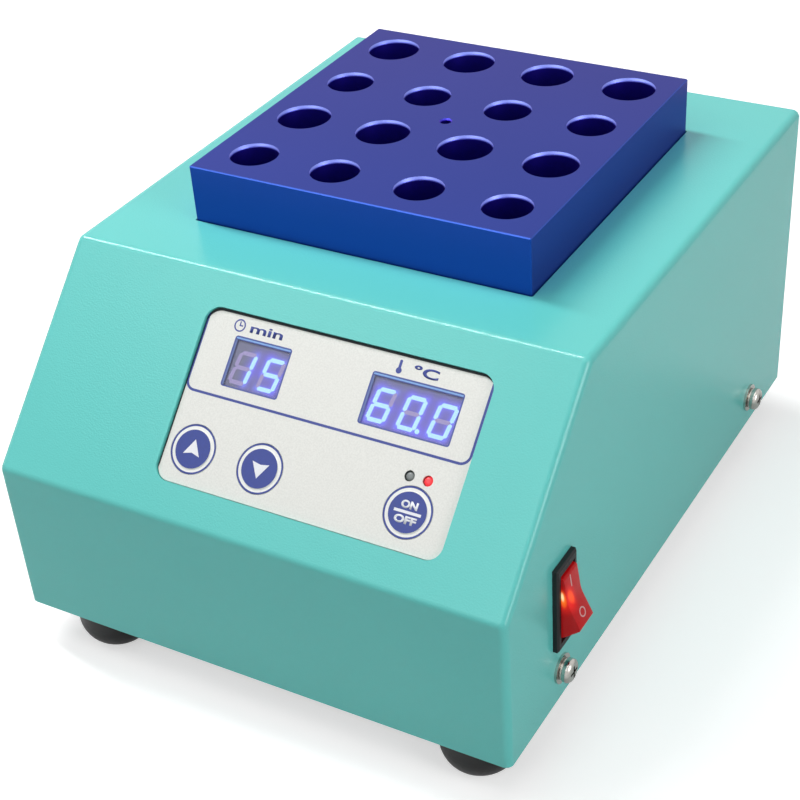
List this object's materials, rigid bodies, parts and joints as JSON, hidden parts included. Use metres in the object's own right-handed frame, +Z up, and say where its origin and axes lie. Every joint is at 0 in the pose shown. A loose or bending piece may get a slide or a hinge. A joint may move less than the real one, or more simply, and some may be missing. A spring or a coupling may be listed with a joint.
{
  "type": "dry block heater",
  "caption": "Bench heater with a drilled block of tube wells in a folded steel case, sloping panel with two displays and keys, and a lit rocker switch.",
  "frame": {"origin": "on the bench, under the middle of the whole object", "axes": "+X to the right seen from the front, +Y to the back, +Z up"},
  "size_m": [0.1924, 0.2326, 0.1435],
  "materials": {
    "aluminium_sheet": "plain sheet",
    "black_anodised_aluminium": "extruded, anodised",
    "black_epoxy": "moulded",
    "black_nylon": "fine texture",
    "black_rubber": "moulded, semi-gloss",
    "blue_anodised_aluminium": "satin anodised",
    "capacitor_sleeve": "shrink sleeve",
    "clear_glass": "glass tube with plated caps",
    "display_epoxy": "potted module",
    "display_window_film": "clear tinted",
    "green_circuit_board": "solder mask",
    "green_nylon": "moulded",
    "grey_led_epoxy": "clear",
    "grey_pvc": "ribbon",
    "key_film": "embossed film",
    "machined_aluminium": "machined",
    "mineral_board": "pressed board",
    "natural_nylon": "moulded",
    "neon_glass": "lit glass envelope",
    "nickel_plated_brass": "nickel plated",
    "orange_silicone": "smooth",
    "phenolic": "moulded",
    "red_clear_plastic": "translucent, lit",
    "red_led_epoxy": "clear, lit",
    "silver_overlay_film": "fine speckle",
    "stainless_steel": "plain",
    "teal_powder_coat": "satin powder coat, fine orange peel",
    "tinned_brass": "tinned",
    "transformer_steel": "varnished laminations",
    "white_fibre": "fibrous",
    "white_silicone": "wire insulation",
    "zinc_plated_sheet": "passivated",
    "zinc_plated_steel": "zinc plated"
  },
  "bodies": {
    "case": {"base_tray": "zinc_plated_sheet", "bracket_studs": "zinc_plated_steel", "buzzer": "black_epoxy", "capacitor": "capacitor_sleeve", "cover": "teal_powder_coat", "display_board": "green_circuit_board", "display_ribbon": "grey_pvc", "display_screws": "zinc_plated_steel", "display_spacers": "natural_nylon", "earth_stud": "nickel_plated_brass", "feet": "black_rubber", "foot_nuts": "zinc_plated_steel", "foot_studs": "zinc_plated_steel", "heat_plate": "machined_aluminium", "heater_mat": "orange_silicone", "heater_pillars": "zinc_plated_steel", "heater_tray": "zinc_plated_sheet", "inlet_pins": "nickel_plated_brass", "inlet_screws": "stainless_steel", "insulation_board": "mineral_board", "insulation_sleeve": "white_fibre", "internal_leads": "white_silicone", "led_heat": "red_led_epoxy", "led_ready": "grey_led_epoxy", "mains_inlet": "black_nylon", "neon_lamp": "neon_glass", "panel_bracket": "aluminium_sheet", "panel_overlay": "silver_overlay_film", "pillar_screws": "stainless_steel", "plate_screws": "stainless_steel", "power_board": "green_circuit_board", "power_screws": "zinc_plated_steel", "power_spacers": "nickel_plated_brass", "rear_panel": "teal_powder_coat", "rear_screws": "stainless_steel", "side_flat_washers": "stainless_steel", "side_screws": "stainless_steel", "side_spring_washers": "stainless_steel", "small_nuts": "zinc_plated_steel", "switch_body": "black_nylon", "switch_terminals": "tinned_brass", "tact_switches": "black_epoxy", "temp_display": "display_epoxy", "temp_sensor": "stainless_steel", "temp_window": "display_window_film", "terminal_block": "green_nylon", "thermal_cutout": "phenolic", "time_display": "display_epoxy", "time_window": "display_window_film", "transformer": "transformer_steel", "triac": "black_epoxy", "triac_heatsink": "black_anodised_aluminium", "weld_nuts": "zinc_plated_steel"},
    "block": {"heating_block": "blue_anodised_aluminium"},
    "rocker": {"rocker": "red_clear_plastic"},
    "up_key": {"key_up": "key_film"},
    "down_key": {"key_down": "key_film"},
    "run_stop_key": {"key_run_stop": "key_film"},
    "fuse_holder": {"fuse_drawer": "black_nylon", "fuse": "clear_glass"}
  },
  "joints": [
    {"name": "block_lift", "type": "slide", "parent": "case", "child": "block", "axis": [0, 0, 1], "range_m": [0, 0.06]},
    {"name": "rocker_turn", "type": "hinge", "parent": "case", "child": "rocker", "pos_m": [0.0841, -0.0803, 0.0524], "axis": [0, 1, 0], "range_deg": [0, 34]},
    {"name": "up_key_press", "type": "slide", "parent": "case", "child": "up_key", "axis": [0, 0.6988, -0.7153], "range_m": [0, 0.0004], "stiffness_N_per_m": 1000, "springref_m": -0.0006},
    {"name": "down_key_press", "type": "slide", "parent": "case", "child": "down_key", "axis": [0, 0.6988, -0.7153], "range_m": [0, 0.0004], "stiffness_N_per_m": 1000, "springref_m": -0.0006},
    {"name": "run_stop_key_press", "type": "slide", "parent": "case", "child": "run_stop_key", "axis": [0, 0.6988, -0.7153], "range_m": [0, 0.0004], "stiffness_N_per_m": 1000, "springref_m": -0.0006},
    {"name": "fuse_drawer_slide", "type": "slide", "parent": "case", "child": "fuse_holder", "axis": [0, 1, 0], "range_m": [0, 0.022]}
  ]
}
